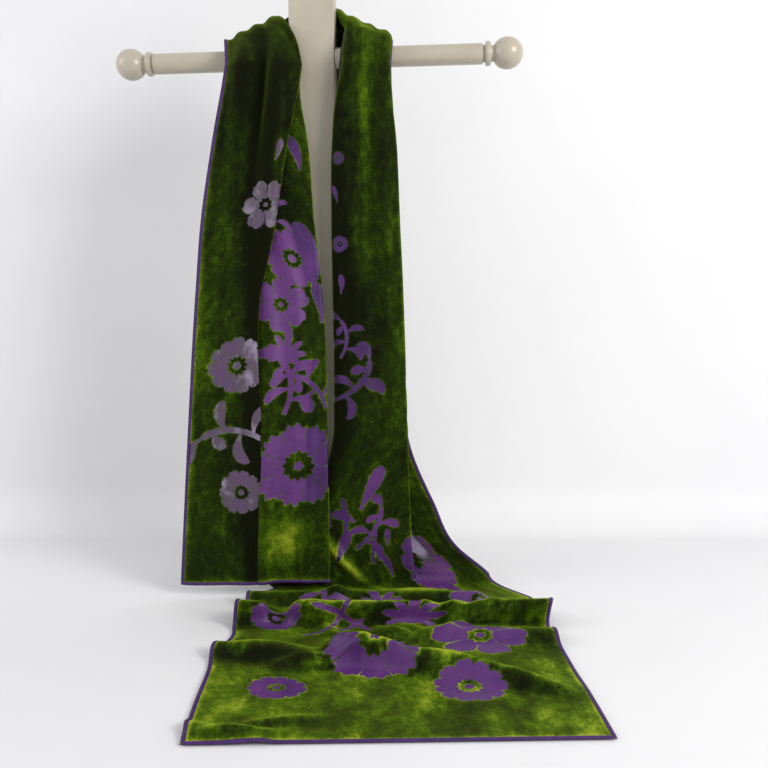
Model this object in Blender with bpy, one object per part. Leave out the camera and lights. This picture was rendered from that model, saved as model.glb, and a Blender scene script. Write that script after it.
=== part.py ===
"""A velvet scarf, 0.27 m wide and about 1.6 m long, hung on a small painted stand: it passes behind the
post and over both arms. One end hangs at the left. The other comes down at the right, spreads to its
full width and lies on the surface in cross folds, with its end flap in front.

Metres, +Z up, +X to the right as seen from the front, -Y towards the viewer. The whole object stands
on Z = 0, with its origin below the middle of its box.

The scarf is an outer face and an inner face round a surface. Every cross section of the surface is a
path across the width that keeps the scarf's own width: four runs with three turns between them. It
starts at the scarf's outer edge, the one away from the post. "Run" and "turn" below are those.
"""

import bmesh
import bpy
import numpy as np
from mathutils import Matrix, Vector

# The cloth
WIDTH = 0.27
WALL = 0.0015
FOLD_RADIUS = 0.0015
WIDE_FOLD = 3 * FOLD_RADIUS
PATH_STEPS = 540

# The stand
AXIS_Y = 0.010
ARM_Z = 0.5025
ARM_RADIUS = 0.0095
BALL_RADIUS = 0.0146
POST_WIDTH = 0.043
POST_DEPTH = 0.018
POST_TOP = 0.600
BASE_SIZE = (0.170, 0.150, 0.018)
BASE_FRONT_Y = 0.0080
JOINT_GAP = 0.0003
LEFT_ARM = 0.1295
RIGHT_ARM = 0.1370
ARM_SIDES = 20
GROOVE_RADIUS = 0.0078
COLLAR_RADIUS = 0.0110
THROAT_RADIUS = 0.0072
BALL_OUT = 0.0230
BALL_RINGS = 12
BASE_BEVEL = 0.003
POST_BEVEL = 0.0015
STAND_TURN = np.radians(-3.9)
ARM_RISE = np.radians(0.7)

# Below the middle of the whole object's box. The scarf lies forward of the stand.
CENTRE = Vector((0.0120, -0.0819, 0.0))

# The hanging end, a row for each section from its hem up: the height, the outer edge, and the runs of
# the front panel, of the tuck behind it, of the second layer that shows beside it and of the layer
# that goes back behind them all. The ripple is the swing of the panel's soft pleats, in radians.
# Where the runs add up to less than the width, the cloth is puckered finer than this.
HANGING = dict(
    z=(0.0100, 0.135, 0.286, 0.350, 0.416, 0.4700, 0.4900),
    edge=(-0.1235, -0.1155, -0.105, -0.0995, -0.0895, -0.0800, -0.0775),
    front=(0.0800, 0.072, 0.061, 0.0695, 0.0710, 0.0760, 0.0770),
    tuck=(0.0180, 0.018, 0.020, 0.030, 0.040, 0.0550, 0.0560),
    second=(0.0780, 0.077, 0.075, 0.064, 0.059, 0.0550, 0.0540),
    back=(0.0940, 0.098, 0.100, 0.090, 0.078, 0.0660, 0.0660),
    ripple=(0.1000, 0.12, 0.15, 0.22, 0.36, 0.5500, 0.6000),
    back_y=(-0.0240, -0.024, -0.023, -0.021, -0.018, -0.0140, -0.0100),
)

# The gathered neck, a row for each section from the left front over the left arm, round the back of the
# post and over the right arm. The point is the outer edge on the side that faces the stand; across goes
# from the outer to the inner edge and inward goes towards the stand. Then the runs, the turns in
# degrees, the ripple, how far the outer edge curls down, and the ripple's share on the first three runs.
NECK = dict(
    x=(-0.0775, -0.0800, -0.0770, -0.0500, 0.0000, 0.0490, 0.0700, 0.0740, 0.0722),
    y=(-0.0100, 0.0040, 0.0270, 0.0305, 0.0300, 0.0300, 0.0275, -0.0005, -0.0090),
    z=(0.4905, 0.5118, 0.5060, 0.4680, 0.4480, 0.4680, 0.5070, 0.5145, 0.4905),
    across_x=(1.00, 0.90, 0.74, 0.38, 0.00, -0.38, -0.74, -0.90, -1.00),
    across_z=(0.00, 0.29, 0.50, 0.92, 1.00, 0.92, 0.53, 0.24, 0.00),
    inward_x=(0.00, 0.10, 0.20, 0.15, 0.00, -0.15, -0.20, -0.10, 0.00),
    inward_y=(1.00, 0.15, -0.55, -0.95, -1.00, -0.95, -0.55, 0.15, 1.00),
    inward_z=(0.00, -1.00, -0.70, -0.10, 0.00, -0.10, -0.70, -1.00, 0.00),
    run_1=(0.0770, 0.062, 0.056, 0.059, 0.058, 0.054, 0.048, 0.046, 0.0480),
    run_2=(0.0560, 0.046, 0.022, 0.010, 0.010, 0.010, 0.022, 0.044, 0.0480),
    run_3=(0.0540, 0.044, 0.032, 0.040, 0.048, 0.050, 0.048, 0.048, 0.0490),
    run_4=(0.0660, 0.038, 0.038, 0.040, 0.042, 0.042, 0.043, 0.044, 0.0460),
    turn_1=(180.0, 178.0, 130.0, 60.0, 0.0, -60.0, -130.0, -178.0, -180.0),
    turn_2=(-180.0, -178.0, -130.0, -60.0, 0.0, 60.0, 130.0, 178.0, 180.0),
    last_fold=(1.0, 1.0, 1.2, 1.6, 2.0, 2.4, 2.8, 3.0, 3.0),
    ripple=(0.6000, 0.15, 0.22, 0.60, 0.85, 0.75, 0.35, 0.20, 0.3500),
    curl=(0.0, 0.32, 0.15, 0.05, 0.0, 0.0, 0.0, 0.0, 0.0),
    share_1=(1.0, 1.0, 1.0, 1.0, 1.0, 0.8, 0.4, 0.0, 0.0),
    share_2=(0.0, 0.0, 0.1, 0.6, 1.0, 0.6, 0.1, 0.0, 0.0),
    share_3=(0.0, 0.0, 0.4, 0.8, 1.0, 1.0, 1.0, 1.0, 1.0),
)

# The long fall, a row for each section from the arm down: the height, the fold at the right of its
# front panel, and the runs of the layer behind the panel that ends in the right hem, of the tuck
# between them, of the panel and of the layer behind them all. Near the floor the tuck opens.
FALL = dict(
    z=(0.4900, 0.467, 0.420, 0.350, 0.286, 0.183, 0.144, 0.083, 0.036, 0.0120),
    edge=(0.0722, 0.0737, 0.0780, 0.0815, 0.0845, 0.0880, 0.0893, 0.0915, 0.0945, 0.0980),
    hem_layer=(0.0480, 0.051, 0.056, 0.059, 0.061, 0.061, 0.060, 0.055, 0.061, 0.0740),
    tuck=(0.0480, 0.052, 0.058, 0.061, 0.063, 0.064, 0.060, 0.034, 0.020, 0.0120),
    front=(0.0490, 0.055, 0.063, 0.067, 0.069, 0.0715, 0.074, 0.096, 0.126, 0.1480),
    back=(0.0460, 0.050, 0.058, 0.062, 0.064, 0.066, 0.068, 0.072, 0.058, 0.0360),
    open_turn=(180.0, 180.0, 180.0, 180.0, 180.0, 180.0, 178.0, 168.0, 150.0, 115.0),
    ripple=(0.3500, 0.30, 0.20, 0.16, 0.12, 0.10, 0.09, 0.07, 0.06, 0.0600),
    front_y=(-0.0198, -0.0193, -0.0188, -0.0183, -0.0178, -0.0178, -0.0178, -0.0178, -0.0178, -0.0178),
)

# The scarf on the floor, a row for each section from where it lands to its end: the distance to its
# end hem, how much further back its right edge lies, the place forward, and its two edges.
FLOOR = dict(
    from_end=(0.370, 0.350, 0.310, 0.270, 0.235, 0.200, 0.172, 0.158, 0.120, 0.060, 0.0000),
    skew=(0.000, 0.000, 0.000, 0.004, 0.006, 0.004, 0.004, 0.004, 0.004, 0.006, 0.0080),
    y=(-0.016, -0.036, -0.062, -0.096, -0.120, -0.144, -0.166, -0.176, -0.214, -0.270, -0.3270),
    left=(-0.056, -0.056, -0.057, -0.058, -0.060, -0.058, -0.062, -0.066, -0.064, -0.062, -0.0585),
    right=(0.190, 0.200, 0.208, 0.210, 0.206, 0.206, 0.207, 0.208, 0.209, 0.2115, 0.2125),
)

# Folds on the floor, a row each: both ends, the height at each, half the width, and how far the crest
# leans towards the viewer for its height.
FLOOR_FOLDS = dict(
    x_1=(-0.070, 0.030, -0.080, -0.004, 0.128, -0.080, 0.034, 0.075, -0.010, -0.075),
    y_1=(-0.058, -0.050, -0.098, -0.100, -0.100, -0.172, -0.180, -0.136, -0.206, -0.300),
    x_2=(0.020, 0.150, -0.036, 0.100, 0.225, 0.004, 0.190, 0.225, 0.045, -0.010),
    y_2=(-0.056, -0.060, -0.098, -0.100, -0.098, -0.190, -0.246, -0.150, -0.196, -0.322),
    height_1=(0.012, 0.010, 0.024, 0.022, 0.022, 0.008, 0.020, 0.008, 0.004, 0.006),
    height_2=(0.012, 0.014, 0.020, 0.022, 0.024, 0.010, 0.004, 0.010, 0.010, 0.002),
    half_width=(0.012, 0.013, 0.015, 0.015, 0.015, 0.012, 0.013, 0.014, 0.008, 0.007),
    lean=(0.5, 0.6, 0.9, 0.9, 0.9, 0.6, 0.7, 0.5, 0.4, 0.3),
)

# Where one stretch gives way to the next, with the clear slit between them
FLAP_FROM_END = 0.148
FLAP_GAP = 0.0009
LANDING_GAP = 0.0007
NECK_GAP = 0.0005
LANDING_BLEND = 0.030
BESIDE = 0.002
NECK_BESIDE = 0.03

# Soft waves on the first three runs, and how much of the first run curls
RIPPLE_WAVES = (2, 1, 2)
CURL_SHARE = 0.7

# The mesh: columns on each of the four runs and in each turn, and rows along each stretch
TURN_COLUMNS = 3
HANGING_COUNTS = (9, 4, 7, 5)
HANGING_ROWS = 13
NECK_COUNTS = (9, 4, 9, 4)
NECK_ROWS = 23
FALL_COUNTS = (6, 4, 8, 7)
FALL_ROWS_ABOVE = 9
FALL_ROWS_BELOW = 7
FALL_CLOSER_BELOW = 0.15
FLOOR_COUNTS = (8, 2, 14, 4)
FOLD_ROWS = 26
FLAP_ROWS = 14


def clear_scene():
    for item in list(bpy.data.objects):
        bpy.data.objects.remove(item, do_unlink=True)


def material(name, colour, roughness, sheen=0.0):
    made = bpy.data.materials.new(name)
    made.use_nodes = True
    shader = made.node_tree.nodes["Principled BSDF"]
    shader.inputs["Base Color"].default_value = (*colour, 1.0)
    shader.inputs["Roughness"].default_value = roughness
    shader.inputs["Metallic"].default_value = 0.0
    shader.inputs["Sheen Weight"].default_value = sheen
    return made


def smooth_curve(xs, ys, x):
    """A smooth curve through the rows of a table, read at x. The rows may go up or down."""
    xs, ys = np.asarray(xs, float), np.asarray(ys, float)
    if xs[0] > xs[-1]:
        xs, ys = xs[::-1], ys[::-1]
    slopes = np.gradient(ys, xs)
    x = np.clip(x, xs[0], xs[-1])
    i = np.clip(np.searchsorted(xs, x) - 1, 0, len(xs) - 2)
    step = xs[i + 1] - xs[i]
    f = (x - xs[i]) / step
    rise = 3 * f**2 - 2 * f**3
    return (
        ys[i] * (1 - rise) + ys[i + 1] * rise
        + step * slopes[i] * (f**3 - 2 * f**2 + f) + step * slopes[i + 1] * (f**3 - f**2)
    )


def width_path(runs, turns, radii, ripple, shares, curl=0.0):
    """The path of a cross section: the distance along it, across and inward, one row for each step."""
    along = np.linspace(0.0, sum(runs), PATH_STEPS + 1)
    heading = np.zeros_like(along)
    ends = np.cumsum(runs[:3])
    for end, turn, radius in zip(ends, turns, radii):
        length = np.pi * radius
        heading += np.radians(turn) * np.clip((along - end) / length + 0.5, 0.0, 1.0)
    for start, end, share, waves in zip((0.0, *ends[:2]), ends, shares, RIPPLE_WAVES):
        part = np.clip((along - start) / (end - start), 0.0, 1.0)
        heading -= ripple * share * np.sin(2 * np.pi * waves * part)
    heading -= curl * np.clip(1.0 - along / (CURL_SHARE * runs[0]), 0.0, 1.0)
    middle = (heading[1:] + heading[:-1]) / 2
    step = along[1]
    across = np.concatenate([[0.0], np.cumsum(np.cos(middle) * step)])
    inward = np.concatenate([[0.0], np.cumsum(np.sin(middle) * step)])
    return along, across, inward


def columns(runs, radii, per_run, per_turn):
    """Distances along a section for a mesh's columns: even on the runs, closer in the turns."""
    ends = np.cumsum(runs[:3])
    stops = [0.0]
    for end, radius, count in zip(ends, radii, per_run):
        half = min(np.pi * radius / 2, 0.45 * (end - stops[-1]))
        stops += list(np.linspace(stops[-1], end - half, count + 1)[1:])
        stops += list(np.linspace(end - half, end + half, per_turn + 1)[1:])
    stops += list(np.linspace(stops[-1], sum(runs), per_run[3] + 1)[1:])
    return np.array(stops)


def hanging_row(z, count):
    """One section of the hanging end, from its outer edge to its hidden edge."""
    read = {name: smooth_curve(HANGING["z"], HANGING[name], z) for name in HANGING}
    runs = (read["front"], read["tuck"], read["second"], read["back"])
    radii = (FOLD_RADIUS,) * 3
    along, across, inward = width_path(runs, (180, -180, 180), radii, read["ripple"], (1, 0, 0))
    at = columns(runs, radii, count, TURN_COLUMNS)
    x = read["edge"] + np.interp(at, along, across) - min(across.min(), 0.0)
    y = read["back_y"] + np.interp(at, along, inward) - inward.max()
    return np.column_stack([x, y, np.full(len(at), z)])


def neck_row(s, count):
    """One section of the neck. s counts the rows of its table."""
    rows = np.arange(len(NECK["x"]), dtype=float)
    read = {name: float(smooth_curve(rows, NECK[name], s)) for name in NECK}
    runs = (read["run_1"], read["run_2"], read["run_3"], read["run_4"])
    radii = (FOLD_RADIUS, FOLD_RADIUS, read["last_fold"] * FOLD_RADIUS)
    turns = (read["turn_1"], read["turn_2"], 180)
    shares = (read["share_1"], read["share_2"], read["share_3"])
    along, across, inward = width_path(runs, turns, radii, read["ripple"], shares, read["curl"])
    to_inner = np.array([read["across_x"], 0.0, read["across_z"]])
    to_inner /= np.linalg.norm(to_inner)
    to_stand = np.array([read["inward_x"], read["inward_y"], read["inward_z"]])
    to_stand -= to_inner * to_stand.dot(to_inner)
    to_stand /= np.linalg.norm(to_stand)
    at = columns(runs, radii, count, TURN_COLUMNS)
    u = np.interp(at, along, across) - across.min()
    v = np.interp(at, along, inward) - inward.max()
    start = np.array([read["x"], read["y"], read["z"]])
    return start + np.outer(u, to_inner) + np.outer(v, to_stand)


def fall_row(z, count):
    """One section of the long fall, from its right hem to its left hem."""
    read = {name: smooth_curve(FALL["z"], FALL[name], z) for name in FALL}
    runs = (read["hem_layer"], read["tuck"], read["front"], read["back"])
    radii = (FOLD_RADIUS, FOLD_RADIUS, WIDE_FOLD)
    turns = (-read["open_turn"], read["open_turn"], 180)
    along, across, inward = width_path(runs, turns, radii, read["ripple"], (0, 0, 1))
    at = columns(runs, radii, count, TURN_COLUMNS)
    fold, panel = runs[0] + runs[1], runs[0] + runs[1] + np.pi * FOLD_RADIUS / 2
    x = read["edge"] - (np.interp(at, along, across) - np.interp(fold, along, across))
    y = read["front_y"] + np.interp(at, along, inward) - np.interp(panel, along, inward)
    return np.column_stack([x, y, np.full(len(at), z)])


def fold_relief(x, y):
    """The height of the floor folds at a point, and how far their crests lean forward there."""
    height, lean = np.zeros_like(x), np.zeros_like(x)
    names = ("x_1", "y_1", "x_2", "y_2", "height_1", "height_2", "half_width", "lean")
    for x_1, y_1, x_2, y_2, height_1, height_2, half_width, forward in zip(*(FLOOR_FOLDS[n] for n in names)):
        run = np.array([x_2 - x_1, y_2 - y_1])
        part = ((x - x_1) * run[0] + (y - y_1) * run[1]) / run.dot(run)
        near = np.clip(part, 0.0, 1.0)
        aside = np.hypot(x - x_1 - near * run[0], y - y_1 - near * run[1])
        rise = (height_1 * (1 - near) + height_2 * near) * np.exp(-((aside / half_width) ** 2))
        height = height + rise
        lean = lean + forward * rise
    return height, lean


def floor_row(from_end, at, count):
    """One section on the floor, from its right hem to its left hem, at distances across the width."""
    read = {name: float(smooth_curve(FLOOR["from_end"], FLOOR[name], from_end)) for name in FLOOR}
    x = read["right"] + (read["left"] - read["right"]) * at / WIDTH
    y = read["y"] + read["skew"] * (1 - at / WIDTH)
    height, lean = fold_relief(x, y)
    row = np.column_stack([x, y - lean, WALL / 2 + height])
    landing = (from_end - FLOOR["from_end"][0] + LANDING_BLEND) / LANDING_BLEND
    if landing > 0:
        start = fall_row(FALL["z"][-1], count)
        start[:, 2] -= LANDING_GAP
        rise = landing**2 * (3 - 2 * landing)
        target = start.copy()
        target[:, 2] = WALL / 2 + (start[:, 2] - WALL / 2) * landing**3
        row = row + (target - row) * [rise, rise, 0] + np.outer(target[:, 2] * rise, [0, 0, 1])
        row[:, 2] = np.minimum(row[:, 2], start[:, 2])
    return row


def wall(name, rows, skin, before=None, after=None):
    """A closed wall round a grid of points, half its thickness to each side, flat where it rests.
    Before and after are the sections just past its ends, which give its edges their neighbour's slope."""
    grid = np.array(([] if before is None else [before]) + rows + ([] if after is None else [after]))
    along = np.gradient(grid, axis=0)
    across = np.gradient(grid, axis=1)
    normal = np.cross(along, across)
    normal /= np.linalg.norm(normal, axis=2, keepdims=True)
    kept = slice(0 if before is None else 1, len(grid) - (after is not None))
    grid, normal = grid[kept], normal[kept]
    sides = [grid + normal * WALL / 2, grid - normal * WALL / 2]
    for side in sides:
        side[..., 2] = np.maximum(side[..., 2], 0.0)
    count_v, count_u = grid.shape[:2]
    made = bmesh.new()
    corners = [[[made.verts.new(Vector(p) - CENTRE) for p in row] for row in side] for side in sides]
    for v in range(count_v - 1):
        for u in range(count_u - 1):
            for side, order in ((0, 1), (1, -1)):
                c = corners[side]
                ring = [c[v][u], c[v][u + 1], c[v + 1][u + 1], c[v + 1][u]]
                made.faces.new(ring[::order])
    border = [(0, u) for u in range(count_u)] + [(v, count_u - 1) for v in range(1, count_v)]
    border += [(count_v - 1, u) for u in range(count_u - 2, -1, -1)]
    border += [(v, 0) for v in range(count_v - 2, 0, -1)]
    outer, inner = corners
    for (v, u), (next_v, next_u) in zip(border, border[1:] + border[:1]):
        made.faces.new([outer[next_v][next_u], outer[v][u], inner[v][u], inner[next_v][next_u]])
    bmesh.ops.recalc_face_normals(made, faces=made.faces)
    bmesh.ops.triangulate(made, faces=made.faces)
    return add_object(name, made, skin, sharp=60)


def add_object(name, made, skin, sharp=35):
    mesh = bpy.data.meshes.new(name)
    made.to_mesh(mesh)
    made.free()
    mesh.materials.append(skin)
    mesh.shade_smooth()
    mesh.set_sharp_from_angle(angle=np.radians(sharp))
    item = bpy.data.objects.new(name, mesh)
    bpy.context.scene.collection.objects.link(item)
    return item


def landing_columns(counts):
    """The columns of the long fall's lowest section, which the cloth on the floor keeps."""
    runs = tuple(FALL[name][-1] for name in ("hem_layer", "tuck", "front", "back"))
    return columns(runs, (FOLD_RADIUS, FOLD_RADIUS, WIDE_FOLD), counts, TURN_COLUMNS)


def hanging_end(velvet):
    low, top = HANGING["z"][0], HANGING["z"][-1]
    rows = [hanging_row(z, HANGING_COUNTS) for z in np.linspace(low, top, HANGING_ROWS)]
    above = neck_row(NECK_BESIDE, HANGING_COUNTS)
    above[:, 2] = top + BESIDE
    wall("scarf_hanging_end", rows, velvet, after=above)


def neck(velvet):
    last = len(NECK["x"]) - 1
    left_top, right_top = HANGING["z"][-1], FALL["z"][0]
    rows = [neck_row(s, NECK_COUNTS) for s in np.linspace(0.0, last, NECK_ROWS)]
    rows[0][:, 2] = left_top + NECK_GAP
    rows[-1][:, 2] = right_top + NECK_GAP
    below_left = hanging_row(left_top - BESIDE, NECK_COUNTS)
    below_right = fall_row(right_top - BESIDE, NECK_COUNTS)
    wall("scarf_neck", rows, velvet, before=below_left, after=below_right)


def long_fall(velvet):
    top, bottom = FALL["z"][0], FALL["z"][-1]
    above = np.linspace(top, FALL_CLOSER_BELOW, FALL_ROWS_ABOVE)
    below = np.linspace(FALL_CLOSER_BELOW, bottom, FALL_ROWS_BELOW)
    rows = [fall_row(z, FALL_COUNTS) for z in (*above, *below[1:])]
    landed = floor_row(FLOOR["from_end"][0] - BESIDE, landing_columns(FALL_COUNTS), FALL_COUNTS)
    wall("scarf_long_fall", rows, velvet, after=landed)


def floor_folds(velvet):
    at = landing_columns(FLOOR_COUNTS)
    distances = np.linspace(FLOOR["from_end"][0], FLAP_FROM_END + FLAP_GAP, FOLD_ROWS)
    rows = [floor_row(from_end, at, FLOOR_COUNTS) for from_end in distances]
    above = fall_row(FALL["z"][-1] + BESIDE, FLOOR_COUNTS)
    beyond = floor_row(FLAP_FROM_END - BESIDE, at, FLOOR_COUNTS)
    wall("scarf_floor_folds", rows, velvet, before=above, after=beyond)


def front_end(velvet):
    at = landing_columns(FLOOR_COUNTS)
    rows = [floor_row(from_end, at, FLOOR_COUNTS) for from_end in np.linspace(FLAP_FROM_END, 0.0, FLAP_ROWS)]
    behind = floor_row(FLAP_FROM_END + BESIDE, at, FLOOR_COUNTS)
    wall("scarf_front_end", rows, velvet, before=behind)


def box_piece(name, size, middle, bevel, skin):
    made = bmesh.new()
    bmesh.ops.create_cube(made, size=1.0)
    turn, axis = Matrix.Rotation(STAND_TURN, 3, "Z"), Vector((0.0, AXIS_Y, 0.0))
    for vert in made.verts:
        place = Vector([c * s for c, s in zip(vert.co, size)]) + Vector(middle)
        vert.co = turn @ (place - axis) + axis - CENTRE
    bmesh.ops.bevel(made, geom=made.edges[:], offset=bevel, segments=3, profile=0.5, affect="EDGES")
    bmesh.ops.triangulate(made, faces=made.faces)
    return add_object(name, made, skin)


def arm_profile(length):
    """A turned arm's distance from the post and radius: rod, groove, collar, bead, neck and ball."""
    outline = [(0.0, ARM_RADIUS), (length, ARM_RADIUS)]
    for past_end, radius in (
        (0.0006, GROOVE_RADIUS),
        (0.0022, GROOVE_RADIUS),
        (0.0028, COLLAR_RADIUS),
        (0.0070, COLLAR_RADIUS),
        (0.0078, GROOVE_RADIUS),
        (0.0092, THROAT_RADIUS),
        (0.0112, GROOVE_RADIUS),
    ):
        outline.append((length + past_end, radius))
    ball_at = length + BALL_OUT
    start = np.arcsin(GROOVE_RADIUS / BALL_RADIUS)
    for angle in np.linspace(start, np.pi, BALL_RINGS)[1:-1]:
        outline.append((ball_at - BALL_RADIUS * np.cos(angle), BALL_RADIUS * np.sin(angle)))
    return outline, ball_at + BALL_RADIUS


def stand_place(place):
    """A point of the arms, given from where their axis crosses the post's, in the part's frame."""
    risen = Matrix.Rotation(-ARM_RISE, 3, "Y") @ Vector(place)
    return Matrix.Rotation(STAND_TURN, 3, "Z") @ risen + Vector((0.0, AXIS_Y, ARM_Z)) - CENTRE


def arm(name, side, length, skin):
    """A turned arm that goes out from the side of the post."""
    outline, tip = arm_profile(length)
    start = POST_WIDTH / 2 + JOINT_GAP + ARM_RADIUS * np.sin(ARM_RISE)
    made = bmesh.new()
    rings = []
    for out, radius in outline:
        ring = []
        for k in range(ARM_SIDES):
            angle = 2 * np.pi * k / ARM_SIDES
            place = (side * (start + out), radius * np.cos(angle), radius * np.sin(angle))
            ring.append(made.verts.new(stand_place(place)))
        rings.append(ring)
    for ring, outer in zip(rings, rings[1:]):
        for k in range(ARM_SIDES):
            past = (k + 1) % ARM_SIDES
            made.faces.new([ring[k], ring[past], outer[past], outer[k]])
    made.faces.new(rings[0])
    end = made.verts.new(stand_place((side * (start + tip), 0.0, 0.0)))
    for k in range(ARM_SIDES):
        made.faces.new([rings[-1][k], rings[-1][(k + 1) % ARM_SIDES], end])
    bmesh.ops.recalc_face_normals(made, faces=made.faces)
    bmesh.ops.triangulate(made, faces=made.faces)
    return add_object(name, made, skin)


def stand(paint):
    base_middle = (0.0, BASE_FRONT_Y + BASE_SIZE[1] / 2, BASE_SIZE[2] / 2)
    box_piece("stand_base", BASE_SIZE, base_middle, BASE_BEVEL, paint)
    bottom = BASE_SIZE[2] + JOINT_GAP
    post_size = (POST_WIDTH, POST_DEPTH, POST_TOP - bottom)
    box_piece("stand_post", post_size, (0.0, AXIS_Y, (POST_TOP + bottom) / 2), POST_BEVEL, paint)
    arm("stand_left_arm", -1, LEFT_ARM, paint)
    arm("stand_right_arm", 1, RIGHT_ARM, paint)


def main():
    clear_scene()
    velvet = material("green_velvet", (0.085, 0.16, 0.02), 0.75, sheen=0.4)
    for stretch in (hanging_end, neck, long_fall, floor_folds, front_end):
        stretch(velvet)
    stand(material("cream_paint", (0.72, 0.69, 0.62), 0.35))


main()
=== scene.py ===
"""The looks of a velvet scarf on a painted wooden stand: pile burnt out to a violet ground in flowers and
scrolls, a violet hem, and turned arms. Metres, in the part's frame: +Z up, +X right, -Y to the viewer.

A place on the scarf is (p, t): p goes across, from the hanging end's outer edge, and t goes along the
whole scarf, from the hanging end's hem. In the tables a distance b is from the nearer end hem.
"""

import bmesh
import bpy
import numpy as np
from mathutils import Matrix, Vector
from mathutils.geometry import delaunay_2d_cdt


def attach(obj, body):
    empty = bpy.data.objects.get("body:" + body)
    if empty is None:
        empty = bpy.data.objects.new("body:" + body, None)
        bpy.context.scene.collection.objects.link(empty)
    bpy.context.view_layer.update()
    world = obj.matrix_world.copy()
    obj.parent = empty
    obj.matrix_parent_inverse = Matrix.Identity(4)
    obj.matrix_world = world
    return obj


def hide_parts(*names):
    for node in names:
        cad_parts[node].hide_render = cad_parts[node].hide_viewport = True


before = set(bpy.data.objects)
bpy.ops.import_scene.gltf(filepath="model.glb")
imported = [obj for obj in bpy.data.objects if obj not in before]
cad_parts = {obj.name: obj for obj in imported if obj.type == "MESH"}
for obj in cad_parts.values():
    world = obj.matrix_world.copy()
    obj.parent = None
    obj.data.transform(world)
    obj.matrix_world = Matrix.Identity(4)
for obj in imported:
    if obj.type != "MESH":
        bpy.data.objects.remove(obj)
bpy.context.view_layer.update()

# The sizes that the solids have too. CENTRE is the frame's origin as the tables measure it.
WIDTH = 0.27
FOLD_RADIUS = 0.0015
WIDE_FOLD = 3 * FOLD_RADIUS
AXIS_Y = 0.010
ARM_Z = 0.5025
ARM_RADIUS = 0.0095
LEFT_ARM = 0.1295
RIGHT_ARM = 0.1370
GROOVE_RADIUS = 0.0078
COLLAR_RADIUS = 0.0110
THROAT_RADIUS = 0.0072
BALL_OUT = 0.0230
BALL_RADIUS = 0.0146
POST_WIDTH = 0.043
JOINT_GAP = 0.0003
STAND_TURN = np.radians(-3.9)
ARM_RISE = np.radians(0.7)
CENTRE = Vector((0.0120, -0.0819, 0.0))
WALL = 0.0015
PATH_STEPS = 540
RIPPLE_WAVES = (2, 1, 2)
CURL_SHARE = 0.7
LANDING_BLEND = 0.030
GATHER_PITCH = 0.017
GATHER_DEPTH = 0.0036
GATHERS_END = 0.36

# Looks only. A waist is where a stitch is thickest.
SHORT_GRID = 0.0022
LONG_GRID = 0.0026
ROW_STEP = 0.002
PILE = 0.0007
CLOTH = 0.0008
HEM_HALF_WIDTH = 0.0017
HEM_HALF_HEIGHT = 0.0009
HEM_SIDES = 10
STITCH_STEP = 0.0032
STITCH_LENGTH = 0.72 * STITCH_STEP
STITCH_WAIST = 0.00028
STITCH_SIDES = 5
STITCH_SUNK = 0.0002
NECK_ROWS = 90
ARM_SIDES = 72
BALL_RINGS = 30
PILE_EDGE = 0.0005
INSET = 0.00001
HEM_INSET = 0.0014
SLIT_WIDTH = 0.0005
# How far in from the edges the painted highlight on the pile reaches.
EDGE_HIGHLIGHT_REACH = 0.0042
RAGGED = 0.00012
WEAVE_PITCH = 0.0009

# The studio, with the camera's place measured as the tables measure theirs
EYE = Vector((0.067, -0.86, 0.267))
EYE_TILT = np.radians(4.7)
LENS = 42.19
WALL_Y = 0.31
BACKDROP_BEND = 0.055
BACKDROP_REACH = 2.5
BACKDROP_HALF_WIDTH = 3.0
BACKDROP_BELOW = 0.0006

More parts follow.
